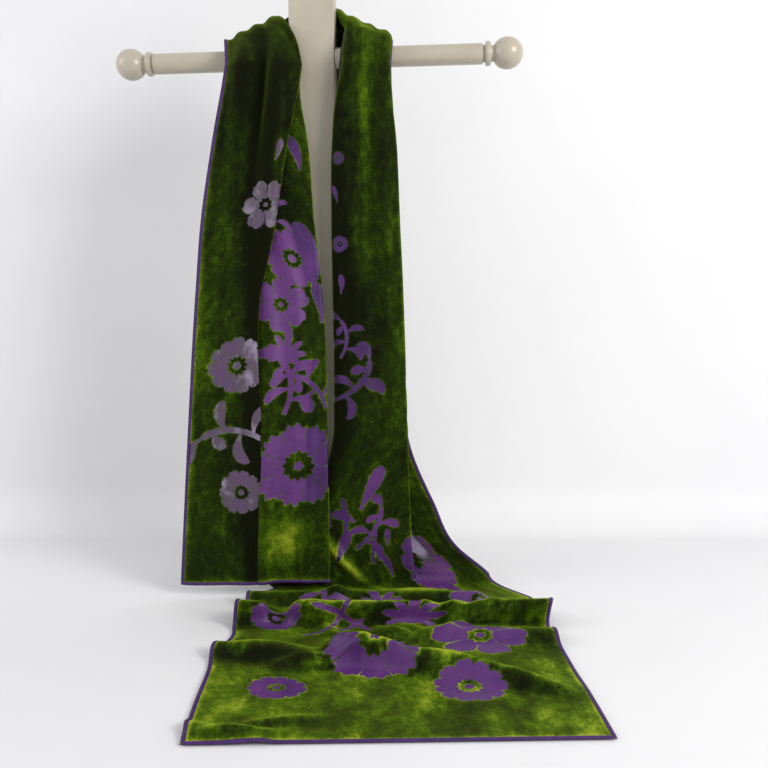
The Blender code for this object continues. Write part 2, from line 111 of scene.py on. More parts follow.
# Each table below has a row for each section. Runs are the layers of the section, from the outer edge.
HANGING = dict(
    z=(0.010, 0.135, 0.286, 0.350, 0.416, 0.470, 0.490),
    edge=(-0.1235, -0.1155, -0.105, -0.0995, -0.0895, -0.080, -0.0775),
    front=(0.080, 0.072, 0.061, 0.0695, 0.071, 0.076, 0.077),
    tuck=(0.018, 0.018, 0.020, 0.030, 0.040, 0.055, 0.056),
    second=(0.078, 0.077, 0.075, 0.064, 0.059, 0.055, 0.054),
    back=(0.094, 0.098, 0.100, 0.090, 0.078, 0.066, 0.066),
    ripple=(0.100, 0.12, 0.15, 0.22, 0.36, 0.550, 0.600),
    back_y=(-0.024, -0.024, -0.023, -0.021, -0.018, -0.014, -0.010),
)
NECK = dict(
    x=(-0.0775, -0.080, -0.077, -0.050, 0.000, 0.049, 0.070, 0.074, 0.0722),
    y=(-0.010, 0.004, 0.027, 0.0305, 0.030, 0.030, 0.0275, -0.0005, -0.009),
    z=(0.4905, 0.5118, 0.506, 0.468, 0.448, 0.468, 0.507, 0.5145, 0.4905),
    across_x=(1.00, 0.90, 0.74, 0.38, 0.00, -0.38, -0.74, -0.90, -1.00),
    across_z=(0.00, 0.29, 0.50, 0.92, 1.00, 0.92, 0.53, 0.24, 0.00),
    inward_x=(0.00, 0.10, 0.20, 0.15, 0.00, -0.15, -0.20, -0.10, 0.00),
    inward_y=(1.00, 0.15, -0.55, -0.95, -1.00, -0.95, -0.55, 0.15, 1.00),
    inward_z=(0.00, -1.00, -0.70, -0.10, 0.00, -0.10, -0.70, -1.00, 0.00),
    run_1=(0.077, 0.062, 0.056, 0.059, 0.058, 0.054, 0.048, 0.046, 0.048),
    run_2=(0.056, 0.046, 0.022, 0.010, 0.010, 0.010, 0.022, 0.044, 0.048),
    run_3=(0.054, 0.044, 0.032, 0.040, 0.048, 0.050, 0.048, 0.048, 0.049),
    run_4=(0.066, 0.038, 0.038, 0.040, 0.042, 0.042, 0.043, 0.044, 0.046),
    turn=(180.0, 178.0, 130.0, 60.0, 0.0, -60.0, -130.0, -178.0, -180.0),
    last_fold=(1.0, 1.0, 1.2, 1.6, 2.0, 2.4, 2.8, 3.0, 3.0),
    ripple=(0.600, 0.15, 0.22, 0.60, 0.85, 0.75, 0.35, 0.20, 0.350),
    press=(1.0, 0.45, 0.42, 0.70, 1.0, 0.90, 0.55, 0.55, 1.0),
    curl=(0.0, 0.32, 0.15, 0.05, 0.0, 0.0, 0.0, 0.0, 0.0),
    share_1=(1.0, 1.0, 1.0, 1.0, 1.0, 0.8, 0.4, 0.0, 0.0),
    share_2=(0.0, 0.0, 0.1, 0.6, 1.0, 0.6, 0.1, 0.0, 0.0),
    share_3=(0.0, 0.0, 0.4, 0.8, 1.0, 1.0, 1.0, 1.0, 1.0),
)
FALL = dict(
    z=(0.490, 0.467, 0.420, 0.350, 0.286, 0.183, 0.144, 0.083, 0.036, 0.012),
    edge=(0.0722, 0.0737, 0.078, 0.0815, 0.0845, 0.088, 0.0893, 0.0915, 0.0945, 0.098),
    hem_layer=(0.048, 0.051, 0.056, 0.059, 0.061, 0.061, 0.060, 0.055, 0.061, 0.074),
    tuck=(0.048, 0.052, 0.058, 0.061, 0.063, 0.064, 0.060, 0.034, 0.020, 0.012),
    front=(0.049, 0.055, 0.063, 0.067, 0.069, 0.0715, 0.074, 0.096, 0.126, 0.148),
    back=(0.046, 0.050, 0.058, 0.062, 0.064, 0.066, 0.068, 0.072, 0.058, 0.036),
    open_turn=(180.0, 180.0, 180.0, 180.0, 180.0, 180.0, 178.0, 168.0, 150.0, 115.0),
    ripple=(0.350, 0.30, 0.20, 0.16, 0.12, 0.10, 0.09, 0.07, 0.06, 0.060),
    front_y=(-0.0198, -0.0193, -0.0188, -0.0183, -0.0178, -0.0178, -0.0178, -0.0178, -0.0178, -0.0178),
)
FLOOR = dict(
    from_end=(0.370, 0.350, 0.310, 0.270, 0.235, 0.200, 0.172, 0.158, 0.120, 0.060, 0.000),
    skew=(0.000, 0.000, 0.000, 0.004, 0.006, 0.004, 0.004, 0.004, 0.004, 0.006, 0.008),
    y=(-0.016, -0.036, -0.062, -0.096, -0.120, -0.144, -0.166, -0.176, -0.214, -0.270, -0.327),
    left=(-0.056, -0.056, -0.057, -0.058, -0.060, -0.058, -0.062, -0.066, -0.064, -0.062, -0.0585),
    right=(0.190, 0.200, 0.208, 0.210, 0.206, 0.206, 0.207, 0.208, 0.209, 0.2115, 0.2125),
)
FLOOR_FOLDS = dict(
    x_1=(-0.070, 0.030, -0.080, -0.004, 0.128, -0.080, 0.034, 0.075, -0.010, -0.075),
    y_1=(-0.058, -0.050, -0.098, -0.100, -0.100, -0.172, -0.180, -0.136, -0.206, -0.300),
    x_2=(0.020, 0.150, -0.036, 0.100, 0.225, 0.004, 0.190, 0.225, 0.045, -0.010),
    y_2=(-0.056, -0.060, -0.098, -0.100, -0.098, -0.190, -0.246, -0.150, -0.196, -0.322),
    height_1=(0.012, 0.010, 0.024, 0.022, 0.022, 0.008, 0.020, 0.008, 0.004, 0.006),
    height_2=(0.012, 0.014, 0.020, 0.022, 0.024, 0.010, 0.004, 0.010, 0.010, 0.002),
    half_width=(0.012, 0.013, 0.015, 0.015, 0.015, 0.012, 0.013, 0.014, 0.008, 0.007),
    lean=(0.5, 0.6, 0.9, 0.9, 0.9, 0.6, 0.7, 0.5, 0.4, 0.3),
)

# The burnt-out pattern, a row each: what it is, its place from the left edge and from the end hem, its
# size, its turn in degrees, and the ends that have it. The left edge is the one seen with that end at
# the bottom. The near end is the hanging one, and the far end lies on the floor.
BOTH, NEAR, FAR = ("near", "far"), ("near",), ("far",)
MOTIFS = (
    ("daisy", 0.053, 0.088, 0.021, 0, BOTH),
    ("daisy", 0.188, 0.086, 0.027, 12, FAR),
    ("daisy", 0.200, 0.090, 0.026, 12, NEAR),
    ("bloom", 0.142, 0.112, 0.042, 0, NEAR),
    ("bloom", 0.124, 0.144, 0.041, 8, FAR),
    ("scroll", 0.076, 0.134, 0.045, 148, NEAR),
    ("leaf", 0.066, 0.190, 0.012, -40, NEAR),
    ("daisy", 0.044, 0.206, 0.027, 8, NEAR),
    ("daisy", 0.036, 0.246, 0.023, 8, FAR),
    ("daisy", 0.226, 0.215, 0.034, 20, NEAR),
    ("rose", 0.207, 0.186, 0.039, 20, FAR),
    ("scroll", 0.126, 0.160, 0.038, 70, NEAR),
    ("scroll", 0.166, 0.166, 0.034, 112, NEAR),
    ("palmette", 0.124, 0.208, 0.030, 80, NEAR),
    ("rose", 0.122, 0.262, 0.027, 50, NEAR),
    ("daisy", 0.142, 0.304, 0.027, 0, NEAR),
    ("leaf", 0.160, 0.245, 0.020, 84, NEAR),
    ("leaf", 0.164, 0.290, 0.026, 92, NEAR),
    ("scroll", 0.130, 0.330, 0.024, 60, NEAR),
    ("rose", 0.062, 0.352, 0.023, 30, NEAR),
    ("leaf", 0.170, 0.385, 0.016, 84, NEAR),
    ("leaf", 0.148, 0.372, 0.016, 110, NEAR),
    ("leaf", 0.066, 0.392, 0.010, 70, NEAR),
    ("stem", 0.060, 0.205, 0.060, 20, FAR),
    ("stem", 0.118, 0.216, 0.064, 128, FAR),
    ("stem", 0.082, 0.222, 0.056, 62, FAR),
    ("palmette", 0.152, 0.226, 0.042, 86, FAR),
    ("leaf", 0.112, 0.262, 0.012, 20, FAR),
    ("palmette", 0.124, 0.290, 0.034, 100, FAR),
    ("scroll", 0.070, 0.290, 0.040, 80, FAR),
    ("daisy", 0.214, 0.300, 0.028, 15, FAR),
    ("daisy", 0.210, 0.388, 0.037, 5, FAR),
    ("leaf", 0.162, 0.372, 0.011, 92, FAR),
    ("leaf", 0.162, 0.402, 0.008, 88, FAR),
    ("stem", 0.146, 0.384, 0.040, 76, FAR),
    ("stem", 0.122, 0.400, 0.050, 96, FAR),
    ("leaf", 0.128, 0.436, 0.022, 78, FAR),
    ("leaf", 0.126, 0.424, 0.014, 150, FAR),
    ("scroll", 0.132, 0.398, 0.032, 40, FAR),
    ("leaf", 0.112, 0.386, 0.016, 60, FAR),
    ("leaf", 0.104, 0.420, 0.014, 120, FAR),
    ("scroll", 0.068, 0.540, 0.036, 18, FAR),
    ("scroll", 0.076, 0.580, 0.026, 60, FAR),
    ("leaf", 0.094, 0.560, 0.012, -30, FAR),
    ("leaf", 0.078, 0.640, 0.009, 80, FAR),
    ("daisy", 0.078, 0.686, 0.008, 0, FAR),
    ("leaf", 0.076, 0.724, 0.008, 100, FAR),
    ("daisy", 0.077, 0.764, 0.006, 0, FAR),
)

# Creases and soft pleats, a row each: one end and the other as p and b, then the height, which is below
# nothing where it is a trough, and half the width.
HANGING_CREASES = (
    (0.034, 0.510, 0.060, 0.230, -0.0014, 0.005),
    (0.020, 0.510, 0.044, 0.180, 0.0044, 0.007),
    (0.054, 0.520, 0.066, 0.290, 0.0062, 0.008),
    (0.012, 0.440, 0.018, 0.120, -0.001, 0.008),
    (0.006, 0.220, 0.012, -0.060, 0.0014, 0.007),
    (0.036, 0.200, 0.032, -0.100, 0.0012, 0.010),
    (0.066, 0.330, 0.078, -0.160, -0.0012, 0.0085),
    (0.110, 0.330, 0.113, -0.180, 0.0076, 0.0085),
    (0.136, 0.400, 0.138, 0.020, 0.0036, 0.008),
    (0.152, 0.300, 0.154, -0.060, 0.0022, 0.006),
)
LONG_CREASES = (
    (0.188, 0.880, 0.184, 0.440, -0.0013, 0.006),
    (0.172, 0.880, 0.168, 0.480, 0.0034, 0.007),
    (0.150, 0.860, 0.146, 0.560, 0.004, 0.008),
    (0.172, 0.560, 0.160, 0.430, 0.0024, 0.008),
    (0.136, 0.520, 0.128, 0.430, 0.0012, 0.010),
    (0.180, 0.424, 0.130, 0.358, 0.006, 0.0048),
    (0.136, 0.352, 0.066, 0.334, 0.005, 0.0048),
    (0.040, 0.460, 0.026, 0.390, 0.0018, 0.007),
    (0.060, 0.286, 0.180, 0.292, 0.003, 0.005),
    (0.236, 0.285, 0.232, 0.232, -0.007, 0.009),
    (0.206, 0.268, 0.178, 0.184, 0.0046, 0.0065),
    (0.186, 0.262, 0.166, 0.196, -0.003, 0.005),
    (0.060, 0.280, 0.118, 0.196, -0.005, 0.0055),
    (0.044, 0.270, 0.098, 0.186, 0.0046, 0.006),
    (0.020, 0.250, 0.070, 0.232, 0.0026, 0.005),
    (0.150, 0.236, 0.110, 0.190, -0.003, 0.005),
    (0.178, 0.158, 0.118, 0.130, 0.0052, 0.0048),
    (0.130, 0.138, 0.048, 0.102, 0.0058, 0.0046),
    (0.066, 0.114, 0.012, 0.070, 0.0036, 0.0052),
    (0.264, 0.160, 0.190, 0.150, 0.004, 0.005),
    (0.210, 0.120, 0.172, 0.128, 0.0036, 0.0042),
    (0.066, 0.090, 0.010, 0.056, -0.0004, 0.008),
    (0.110, 0.070, 0.060, 0.050, 0.001, 0.014),
    (0.180, 0.036, 0.240, 0.024, 0.0028, 0.0055),
    (0.206, 0.014, 0.272, 0.010, 0.0044, 0.005),
)

# Painted light and shade on the pile, placed in the same way: a painted highlight where the amount is above
# nothing, as on fold crests and lit patches, and painted shade where it is below, as beside folds and in the
# neck.
HANGING_PAINTED_LIGHT = (
    (0.028, 0.560, 0.034, 0.380, -0.14, 0.028),
    (0.104, 0.570, 0.098, 0.320, -0.15, 0.024),
    (0.044, 0.500, 0.062, 0.240, -0.20, 0.010),
    (0.056, 0.420, 0.074, -0.100, -0.32, 0.014),
    (0.040, 0.640, 0.040, 0.360, -0.13, 0.045),
    (0.020, 0.460, 0.016, 0.060, 0.07, 0.009),
    (0.006, 0.300, 0.008, 0.160, 0.08, 0.006),
    (0.130, 0.070, 0.134, 0.010, 0.32, 0.018),
    (0.146, 0.420, 0.136, 0.320, -0.20, 0.012),
    (0.024, 0.530, 0.040, 0.400, 0.12, 0.006),
)
LONG_PAINTED_LIGHT = (
    (0.198, 0.880, 0.192, 0.400, -0.26, 0.016),
    (0.172, 0.900, 0.161, 0.710, 0.17, 0.0075),
    (0.146, 0.900, 0.142, 0.740, -0.06, 0.012),
    (0.138, 0.700, 0.136, 0.440, 0.05, 0.012),
    (0.164, 0.640, 0.160, 0.500, -0.08, 0.014),
    (0.180, 0.424, 0.130, 0.358, 0.40, 0.005),
    (0.136, 0.352, 0.066, 0.334, 0.30, 0.0045),
    (0.264, 0.264, 0.006, 0.262, 0.16, 0.006),
    (0.120, 0.238, 0.006, 0.240, 0.14, 0.014),
    (0.264, 0.232, 0.170, 0.230, -0.08, 0.012),
    (0.178, 0.158, 0.118, 0.130, 0.22, 0.0036),
    (0.130, 0.138, 0.048, 0.102, 0.24, 0.0034),
    (0.066, 0.114, 0.012, 0.070, 0.20, 0.004),
    (0.110, 0.114, 0.040, 0.084, -0.14, 0.010),
    (0.264, 0.160, 0.190, 0.150, 0.20, 0.004),
    (0.290, 0.138, 0.150, 0.130, -0.24, 0.013),
    (0.040, 0.160, -0.030, 0.130, -0.16, 0.020),
    (0.210, 0.120, 0.172, 0.128, 0.18, 0.0036),
    (0.230, 0.074, 0.120, 0.064, 0.06, 0.016),
    (0.250, 0.024, 0.160, 0.022, -0.12, 0.012),
)


def smooth_curve(xs, ys, x):
    """A smooth curve through the rows of a table, read at x. The rows may go up or down."""
    xs, ys = np.asarray(xs, float), np.asarray(ys, float)
    if xs[0] > xs[-1]:
        xs, ys = xs[::-1], ys[::-1]
    slopes = np.gradient(ys, xs)
    x = np.clip(x, xs[0], xs[-1])
    i = np.clip(np.searchsorted(xs, x) - 1, 0, len(xs) - 2)
    step = xs[i + 1] - xs[i]
    f = (x - xs[i]) / step
    rise = 3 * f**2 - 2 * f**3
    return (
        ys[i] * (1 - rise) + ys[i + 1] * rise
        + step * slopes[i] * (f**3 - 2 * f**2 + f) + step * slopes[i + 1] * (f**3 - f**2)
    )


def read_table(table, key, value):
    at = np.arange(len(table["x"]), dtype=float) if key is None else table[key]
    return {name: float(smooth_curve(at, table[name], value)) for name in table}


def width_path(runs, turns, radii, ripple, shares, curl=0.0):
    """The path of a cross section: the distance along it, across and inward, one row for each step."""
    along = np.linspace(0.0, sum(runs), PATH_STEPS + 1)
    heading = np.zeros_like(along)
    ends = np.cumsum(runs[:3])
    for end, turn, radius in zip(ends, turns, radii):
        length = np.pi * radius
        heading += np.radians(turn) * np.clip((along - end) / length + 0.5, 0.0, 1.0)
    for start, end, share, waves in zip((0.0, *ends[:2]), ends, shares, RIPPLE_WAVES):
        part = np.clip((along - start) / (end - start), 0.0, 1.0)
        heading -= ripple * share * np.sin(2 * np.pi * waves * part)
    heading -= curl * np.clip(1.0 - along / (CURL_SHARE * runs[0]), 0.0, 1.0)
    middle = (heading[1:] + heading[:-1]) / 2
    step = along[1]
    across = np.concatenate([[0.0], np.cumsum(np.cos(middle) * step)])
    inward = np.concatenate([[0.0], np.cumsum(np.sin(middle) * step)])
    return along, across, inward


def gathers(across, amount, drift=0.0):
    """The depth of the fine gathers across a section, so that layers over each other move together."""
    wave = np.cos(2 * np.pi * across / GATHER_PITCH + drift)
    wave = wave + 0.4 * np.cos(2 * np.pi * across / (1.7 * GATHER_PITCH) + 1.3 * drift)
    return amount * GATHER_DEPTH * (0.5 + wave / 2.8)


def hanging_row(z):
    """One section of the hanging end, from its outer edge to its hidden edge."""
    read = read_table(HANGING, "z", z)
    runs = (read["front"], read["tuck"], read["second"], read["back"])
    _, across, inward = width_path(runs, (180, -180, 180), (FOLD_RADIUS,) * 3, read["ripple"], (1, 0, 0))
    x = read["edge"] + across - min(across.min(), 0.0)
    y = read["back_y"] + inward - inward.max()
    y -= gathers(x, np.clip((z - GATHERS_END) / (HANGING["z"][-1] - GATHERS_END), 0.0, 1.0) ** 2)
    return np.column_stack([x, y, np.full(len(x), z)])


def neck_row(s):
    """One section of the neck. s counts the rows of its table."""
    read = read_table(NECK, None, s)
    runs = (read["run_1"], read["run_2"], read["run_3"], read["run_4"])
    radii = (FOLD_RADIUS, FOLD_RADIUS, read["last_fold"] * FOLD_RADIUS)
    turns = (read["turn"], -read["turn"], 180)
    shares = (read["share_1"], read["share_2"], read["share_3"])
    _, across, inward = width_path(runs, turns, radii, read["ripple"], shares, read["curl"])
    to_inner = np.array([read["across_x"], 0.0, read["across_z"]])
    to_inner /= np.linalg.norm(to_inner)
    to_stand = np.array([read["inward_x"], read["inward_y"], read["inward_z"]])
    to_stand -= to_inner * to_stand.dot(to_inner)
    to_stand /= np.linalg.norm(to_stand)
    start = np.array([read["x"], read["y"], read["z"]])
    inward = (inward - inward.max()) * read["press"] - gathers(across, 1.0, 0.5 * s)
    return start + np.outer(across - across.min(), to_inner) + np.outer(inward, to_stand)


def fall_row(z):
    """One section of the long fall, from its right hem to its left hem."""
    read = read_table(FALL, "z", z)
    runs = (read["hem_layer"], read["tuck"], read["front"], read["back"])
    turns = (-read["open_turn"], read["open_turn"], 180)
    radii = (FOLD_RADIUS, FOLD_RADIUS, WIDE_FOLD)
    along, across, inward = width_path(runs, turns, radii, read["ripple"], (0, 0, 1))
    fold, panel = runs[0] + runs[1], runs[0] + runs[1] + np.pi * FOLD_RADIUS / 2
    x = read["edge"] - (across - np.interp(fold, along, across))
    y = read["front_y"] + inward - np.interp(panel, along, inward)
    y -= gathers(x, np.clip((z - GATHERS_END) / (FALL["z"][0] - GATHERS_END), 0.0, 1.0) ** 2)
    return np.column_stack([x, y, np.full(len(x), z)])


def beside(x, y, x_1, y_1, x_2, y_2):
    """How far along a line each point is, from 0 to 1, and how far to the side of it."""
    run = np.array([x_2 - x_1, y_2 - y_1])
    part = np.clip(((x - x_1) * run[0] + (y - y_1) * run[1]) / run.dot(run), 0.0, 1.0)
    return part, np.hypot(x - x_1 - part * run[0], y - y_1 - part * run[1])


def fold_relief(x, y):
    """The height of the floor folds at a point, and how far their crests lean forward there."""
    height, lean = np.zeros_like(x), np.zeros_like(x)
    names = ("x_1", "y_1", "x_2", "y_2", "height_1", "height_2", "half_width", "lean")
    for x_1, y_1, x_2, y_2, height_1, height_2, half_width, forward in zip(*(FLOOR_FOLDS[n] for n in names)):
        near, aside = beside(x, y, x_1, y_1, x_2, y_2)
        rise = (height_1 * (1 - near) + height_2 * near) * np.exp(-((aside / half_width) ** 2))
        height = height + rise
        lean = lean + forward * rise
    return height, lean


def floor_row(from_end):
    """One section on the floor, from its right hem to its left hem."""
    read = read_table(FLOOR, "from_end", from_end)
    part = np.linspace(0.0, 1.0, PATH_STEPS + 1)
    x = read["right"] + (read["left"] - read["right"]) * part
    y = read["y"] + read["skew"] * (1 - part)
    height, lean = fold_relief(x, y)
    row = np.column_stack([x, y - lean, WALL / 2 + height])
    landing = (from_end - FLOOR["from_end"][0] + LANDING_BLEND) / LANDING_BLEND
    if landing > 0:
        start = fall_row(FALL["z"][-1])
        rise = landing**2 * (3 - 2 * landing)
        target = start.copy()
        target[:, 2] = WALL / 2 + (start[:, 2] - WALL / 2) * landing**3
        row = row + (target - row) * [rise, rise, 0] + np.outer(target[:, 2] * rise, [0, 0, 1])
        row[:, 2] = np.minimum(row[:, 2], start[:, 2])
    return row


class Surface:
    """The scarf as a fine grid of its sections, read at any (p, t)."""

    def __init__(self, sections, distances):
        self.creases, self.nap_and_painted_light = (), ()
        self.t = np.asarray(distances, float)
        self.grid = np.array(sections) - np.array(CENTRE)
        along, across = np.gradient(self.grid, axis=0), np.gradient(self.grid, axis=1)
        normal = np.cross(across, along)
        self.normal = normal / np.linalg.norm(normal, axis=2, keepdims=True)

    def at(self, p, t):
        """The points at (p, t), and the way out of the cloth's face there."""
        u = np.clip(np.asarray(p) / WIDTH, 0, 1) * PATH_STEPS
        v = np.interp(t, self.t, np.arange(len(self.t)))
        i, j = np.minimum(u.astype(int), PATH_STEPS - 1), np.minimum(v.astype(int), len(self.t) - 2)
        f, g = (u - i)[:, None], (v - j)[:, None]
        mixed = []
        for grid in (self.grid, self.normal):
            low = grid[j, i] * (1 - f) + grid[j, i + 1] * f
            high = grid[j + 1, i] * (1 - f) + grid[j + 1, i + 1] * f
            mixed.append(low * (1 - g) + high * g)
        out = mixed[1] / np.linalg.norm(mixed[1], axis=1, keepdims=True)
        place = mixed[0] + out * crease_relief(self.creases, p, t)[:, None]
        place[:, 2] = np.maximum(place[:, 2], CLOTH)
        return place, out


def even(start, end):
    return np.linspace(start, end, int(abs(end - start) / ROW_STEP) + 1)


def make_scarf():
    """The whole scarf from its tables, from the hanging end's hem to the other end's, and the place
    along it where the neck is half way."""
    heights = even(HANGING["z"][0], HANGING["z"][-1])
    drops = even(FALL["z"][0], FALL["z"][-1])
    distances = even(FLOOR["from_end"][0], 0.0)[1:]
    hanging = [hanging_row(z) for z in heights]
    fall = [fall_row(z) for z in drops]
    floor = [floor_row(from_end) for from_end in distances]
    last = len(NECK["x"]) - 1
    neck = []
    for s in np.linspace(0, last, NECK_ROWS)[1:-1]:
        near_left, near_right = max(0.0, 1 - s), max(0.0, s - last + 1)
        row = neck_row(s) + (hanging[-1] - neck_row(0)) * near_left**2
        neck.append(row + (fall[0] - neck_row(last)) * near_right**2)
    over = np.array([hanging[-1], *neck, fall[0]])
    steps = np.linalg.norm(np.diff(over, axis=0), axis=2).mean(axis=1)
    neck_start = heights[-1] - heights[0]
    neck_places = neck_start + np.cumsum(steps)
    neck_end = neck_places[-1]
    landed = neck_end + drops[0] - drops[-1]
    places = [heights - heights[0], neck_places, neck_end + drops[0] - drops[1:]]
    places.append(landed + FLOOR["from_end"][0] - distances)
    scarf = Surface(hanging + neck + fall + floor, np.concatenate(places))
    return scarf, (neck_start + neck_end) / 2


def ring(count, radius_at, centre, turn=0.0):
    """A closed outline round a centre: radius_at gives the radius for each angle."""
    angle = np.linspace(0, 2 * np.pi, count, endpoint=False)
    radius = radius_at(angle)
    around = angle + np.radians(turn)
    return np.column_stack([centre[0] + radius * np.cos(around), centre[1] + radius * np.sin(around)])


def stroke(spine, widths):
    """A closed outline round a curved spine with a width at each point, with round ends."""
    spine, widths = np.asarray(spine), np.asarray(widths)[:, None]
    way = np.gradient(spine, axis=0)
    way /= np.linalg.norm(way, axis=1, keepdims=True)
    side = np.column_stack([-way[:, 1], way[:, 0]])
    return np.concatenate([spine + side * widths, (spine - side * widths)[::-1]])


def bend(start, heading, length, curve, count=14):
    """A spine that sets out at a heading and turns ever more as it goes, in degrees."""
    angles = np.radians(heading + curve * np.linspace(0, 1, count) ** 1.4)
    steps = np.column_stack([np.cos(angles), np.sin(angles)]) * length / (count - 1)
    return np.asarray(start) + np.concatenate([[[0, 0]], np.cumsum(steps[:-1], axis=0)])


def taper(count, width, root, full):
    """Widths that swell from a thin root and close at the tip."""
    part = np.linspace(0, 1, count)
    swell = root + (1 - root) * np.sin(np.pi * np.clip(part / full, 0, 1) / 2) ** 2
    return width * swell * np.sqrt(np.clip(1.02 - np.clip((part - full) / (1 - full), 0, 1) ** 2, 0, 1))


def lobes(angle, count, power):
    """From 0 between petals to 1 at their middles."""
    return np.abs(np.sin(count * angle / 2)) ** power


def teeth(angle, count):
    """Small saw teeth round a circle, from -1 to 1."""
    return np.abs((angle * count / np.pi) % 2 - 1) * 2 - 1


def slits(centre, size, turn, count, inner, outer):
    """Thin lines of pile between the petals."""
    made = []
    for k in range(count):
        angle = np.radians(turn + 360 * k / count)
        way = np.array([np.cos(angle), np.sin(angle)])
        spine = np.asarray(centre) + np.outer(np.linspace(inner, outer, 5) * size, way)
        made.append((stroke(spine, np.linspace(0.3, 1.0, 5) * SLIT_WIDTH), False))
    return made


def uneven(outline, centre):
    """An outline drawn by hand: a little wider on some sides, and ragged where the pile was burnt."""
    centre = np.asarray(centre)
    spread = np.random.default_rng(int(1e6 * (centre[0] + 3 * centre[1])))
    offset = outline - centre
    angle = np.arctan2(offset[:, 1], offset[:, 0])
    start, more = spread.uniform(0, 2 * np.pi, 2)
    swell = 1 + 0.045 * np.sin(2 * angle + start) + 0.03 * np.sin(3 * angle + more)
    return centre + offset * swell[:, None] + spread.normal(0, RAGGED, outline.shape)


def daisy(centre, size, turn):
    """Eleven petals with blunt tips round a serrated ring of pile, with a bare dot in it."""
    def petals(t):
        return size * (0.80 + 0.20 * lobes(t, 11, 0.45) - 0.05 * lobes(t, 11, 40))

    return [
        (ring(154, petals, centre, turn), True),
        (ring(66, lambda t: size * (0.32 + 0.045 * teeth(t, 11)), centre, turn), False),
        (ring(16, lambda t: size * (0.14 + 0 * t), centre), True),
    ]


def bloom(centre, size, turn):
    """A wide flower of nine petals with stepped tips and slits between them."""
    def petals(t):
        return size * (0.78 + 0.16 * lobes(t, 9, 0.4) + 0.06 * teeth(t, 27))

    return [
        (ring(180, petals, centre, turn), True),
        *slits(centre, size, turn, 9, 0.46, 0.90),
        (ring(72, lambda t: size * (0.33 + 0.04 * teeth(t, 12)), centre, turn), False),
        (ring(20, lambda t: size * (0.10 + 0.02 * np.cos(5 * t)), centre), True),
    ]


def rose(centre, size, turn):
    """Six broad petals with a dip in each, round a small ring of pile."""
    def petals(t):
        return size * (0.60 + 0.40 * lobes(t, 6, 0.55) - 0.08 * lobes(t, 6, 16))

    return [
        (ring(132, petals, centre, turn), True),
        *slits(centre, size, turn, 6, 0.36, 0.66),
        (ring(40, lambda t: size * (0.25 + 0.04 * teeth(t, 8)), centre, turn), False),
        (ring(14, lambda t: size * (0.09 + 0 * t), centre), True),
    ]


def blade(spine, width, root=0.25, full=0.7):
    return (stroke(spine, taper(len(spine), width, root, full)), True)


def leaf(centre, size, turn):
    return [blade(bend(centre, turn, size * 2, 30), size * 0.34)]


def stem(centre, size, turn):
    return [blade(bend(centre, turn, size, 35), size * 0.045, root=0.8, full=0.9)]


def scroll(centre, size, turn):
    """A curved stem with curling branches that end in leaf tips."""
    spine = bend(centre, turn, size * 1.5, 75, 18)
    parts = [blade(spine, size * 0.075, root=0.7, full=0.92)]
    for at, heading, length, curve, width in (
        (4, -50, 0.80, -120, 0.12),
        (7, 105, 0.75, 95, 0.11),
        (11, -20, 0.70, -80, 0.12),
        (14, 150, 0.45, 60, 0.11),
        (17, 75, 0.55, 90, 0.13),
    ):
        branch = bend(spine[at], turn + heading, size * length, curve)
        parts.append(blade(branch, size * width, root=0.22, full=0.62))
    return parts


def palmette(centre, size, turn):
    """A fan of curved leaves that rise from one root, with a bud at the top."""
    parts = [blade(bend(centre, turn, size * 1.25, 12), size * 0.13, root=0.3, full=0.72)]
    for side in (-1, 1):
        for spread, length, width in ((36, 0.92, 0.10), (70, 0.80, 0.11), (112, 0.58, 0.10)):
            branch = bend(centre, turn + side * spread * 0.45, size * length, side * spread)
            parts.append(blade(branch, size * width, full=0.68))
    return parts


DRAW = dict(daisy=daisy, bloom=bloom, rose=rose, leaf=leaf, stem=stem, scroll=scroll, palmette=palmette)


def pattern(total):
    """The outlines of the bare patches at both ends, in (p, t). The far end's are turned half round."""
    shapes = []
    for kind, a, b, size, turn, ends in MOTIFS:
        for outline, bare in DRAW[kind]((a, b), size, turn):
            outline = uneven(outline, (a, b))
            if "near" in ends:
                shapes.append((outline, bare))
            if "far" in ends:
                shapes.append(((WIDTH, total) - outline, bare))
    return shapes


def inside(outline, points):
    """Whether each point is inside a closed outline."""
    low, high = outline.min(0), outline.max(0)
    near = np.flatnonzero(((points > low) & (points < high)).all(axis=1))
    result = np.zeros(len(points), bool)
    x, y = points[near, 0][:, None], points[near, 1][:, None]
    x_1, y_1 = outline[:, 0], outline[:, 1]
    x_2, y_2 = np.roll(x_1, -1), np.roll(y_1, -1)
    crosses = (y_1 > y) != (y_2 > y)
    with np.errstate(divide="ignore", invalid="ignore"):
        reach = x_1 + (y - y_1) * (x_2 - x_1) / (y_2 - y_1)
    result[near] = (crosses & (x < reach)).sum(axis=1) % 2 == 1
    return result


def bare_at(shapes, points):
    """Whether each point is bare: a later outline of a motif decides over an earlier one."""
    bare = np.zeros(len(points), bool)
    for outline, is_bare in shapes:
        bare[inside(outline, points)] = is_bare
    return bare


def pile_height(shapes, points, bare):
    """The height of the pile: none on bare ground, and full a little way outside its outlines."""
    height = np.where(bare, 0.0, PILE)
    for outline, _ in shapes:
        low, high = outline.min(0) - PILE_EDGE, outline.max(0) + PILE_EDGE
        near = np.flatnonzero(((points > low) & (points < high)).all(axis=1))
        if len(near):
            start, run = outline, np.roll(outline, -1, axis=0) - outline
            offset = points[near][:, None, :] - start
            part = np.clip((offset * run).sum(2) / np.maximum((run * run).sum(1), 1e-12), 0, 1)
            away = np.linalg.norm(offset - part[..., None] * run, axis=2).min(axis=1)
            height[near] = np.minimum(height[near], PILE * np.clip(away / PILE_EDGE, 0, 1))
    return height


